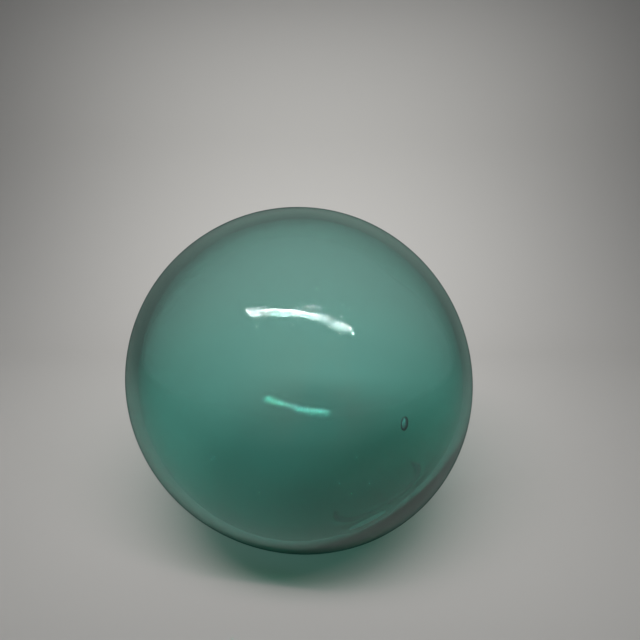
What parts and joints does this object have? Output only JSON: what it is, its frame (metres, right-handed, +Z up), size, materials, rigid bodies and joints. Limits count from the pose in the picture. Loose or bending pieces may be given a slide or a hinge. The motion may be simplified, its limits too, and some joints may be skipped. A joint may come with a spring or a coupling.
{
  "type": "glass float ball",
  "caption": "Blown glass fishing float ball, sealed with a melted glass button, with a small flat spot so that it doesn't roll.",
  "frame": {"origin": "centre of the flat spot that the ball rests on", "axes": "+Z up from the flat spot, -Y the side seen first, +X to its right; the seal button faces down, back and right"},
  "size_m": [0.0947, 0.0932, 0.0935],
  "materials": {
    "float_glass": "clear blue-green blown glass, weathered outside, with fine pitting"
  },
  "bodies": {
    "root": {"float_ball": "float_glass"}
  },
  "joints": []
}
